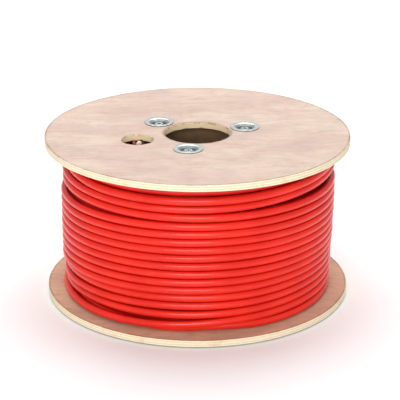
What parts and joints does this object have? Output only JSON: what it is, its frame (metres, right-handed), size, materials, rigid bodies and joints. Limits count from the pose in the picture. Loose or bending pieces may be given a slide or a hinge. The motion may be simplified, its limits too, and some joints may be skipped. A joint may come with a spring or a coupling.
{
  "type": "cable drum",
  "caption": "Plywood cable drum: two round discs tied across a board tube by long bolts in cup washers, full of evenly wound red flexible cable.",
  "frame": {"origin": "on the drum's axis, in the plane of the lower cup washers' rims, on which the drum stands", "axes": "+Z along the drum's axis, up through the disc that has the start hole; the start hole's centre lies 20 degrees past -X towards -Y, opposite the first tie bolt"},
  "size_m": [0.3, 0.3, 0.1635],
  "materials": {
    "plywood": "raw sanded plywood",
    "kraft_board": "matte wound board",
    "zinc_plate": "bright zinc plate",
    "staple_steel": "drawn wire",
    "cable_sheath": "satin flexible PVC",
    "core_filler": "matte"
  },
  "bodies": {
    "root": {"upper_flange": "plywood", "lower_flange": "plywood", "core_tube": "kraft_board", "upper_cup_washer_1": "zinc_plate", "lower_cup_washer_1": "zinc_plate", "tie_bolt_1": "zinc_plate", "hex_nut_1": "zinc_plate", "upper_cup_washer_2": "zinc_plate", "lower_cup_washer_2": "zinc_plate", "tie_bolt_2": "zinc_plate", "hex_nut_2": "zinc_plate", "upper_cup_washer_3": "zinc_plate", "lower_cup_washer_3": "zinc_plate", "tie_bolt_3": "zinc_plate", "hex_nut_3": "zinc_plate", "cable_inner_layers": "cable_sheath", "cable_middle_layers": "cable_sheath", "cable_outer_layer": "cable_sheath", "cable_start_tail": "cable_sheath", "cable_end_tail": "cable_sheath", "cable_start_flap": "cable_sheath", "cable_start_core": "core_filler", "end_staple": "staple_steel"}
  },
  "joints": []
}
